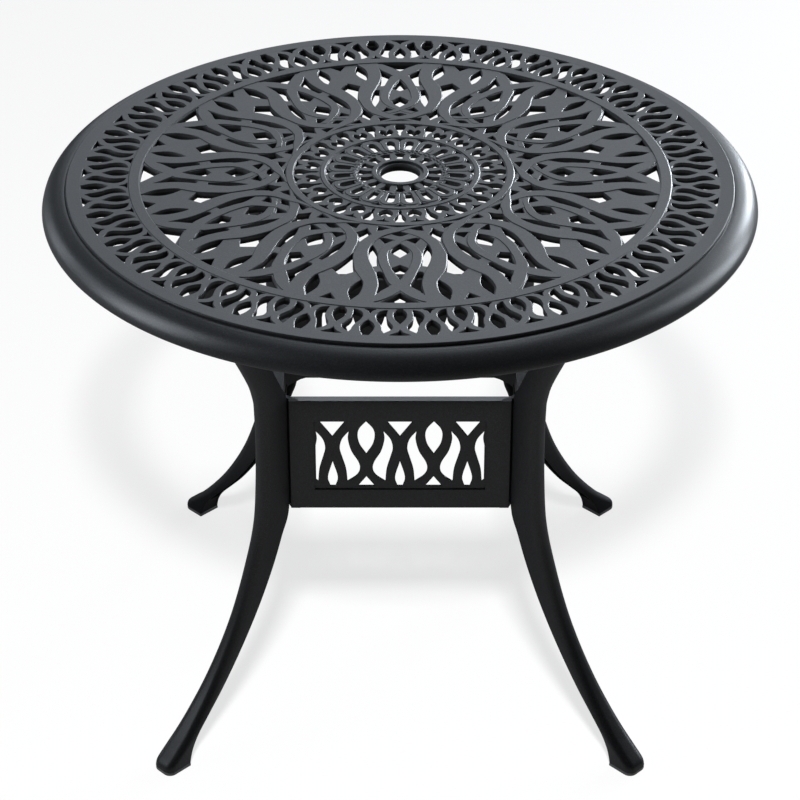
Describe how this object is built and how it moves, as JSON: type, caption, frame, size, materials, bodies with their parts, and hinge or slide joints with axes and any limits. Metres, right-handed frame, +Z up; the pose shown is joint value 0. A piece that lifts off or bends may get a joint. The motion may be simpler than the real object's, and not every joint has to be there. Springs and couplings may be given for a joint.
{
  "type": "round patio table with umbrella hole",
  "caption": "Round cast-metal patio table with a pierced lattice top, central parasol hole, curved channel legs and pierced aprons.",
  "frame": {"origin": "centre of the table's footprint on the floor, under the parasol hole", "axes": "+Z up along the parasol hole's axis; -Y towards the front apron, +X towards the right apron; the legs stand on the diagonals"},
  "size_m": [0.901, 0.901, 0.7194],
  "materials": {
    "painted_casting": "satin charcoal powder coat with a fine speckle",
    "glide_plastic": "matt dark grey",
    "fixing_steel": "plain stainless"
  },
  "bodies": {
    "root": {"tabletop": "painted_casting", "leg_rear_right": "painted_casting", "leg_rear_left": "painted_casting", "leg_front_left": "painted_casting", "leg_front_right": "painted_casting", "apron_front": "painted_casting", "apron_right": "painted_casting", "apron_rear": "painted_casting", "apron_left": "painted_casting", "glide_rear_right": "glide_plastic", "glide_rear_left": "glide_plastic", "glide_front_left": "glide_plastic", "glide_front_right": "glide_plastic", "leg_washer_rear_right": "fixing_steel", "leg_bolt_rear_right": "fixing_steel", "corner_plate_rear_right": "fixing_steel", "corner_bolt_rear_right": "fixing_steel", "leg_washer_rear_left": "fixing_steel", "leg_bolt_rear_left": "fixing_steel", "corner_plate_rear_left": "fixing_steel", "corner_bolt_rear_left": "fixing_steel", "leg_washer_front_left": "fixing_steel", "leg_bolt_front_left": "fixing_steel", "corner_plate_front_left": "fixing_steel", "corner_bolt_front_left": "fixing_steel", "leg_washer_front_right": "fixing_steel", "leg_bolt_front_right": "fixing_steel", "corner_plate_front_right": "fixing_steel", "corner_bolt_front_right": "fixing_steel"}
  },
  "joints": []
}
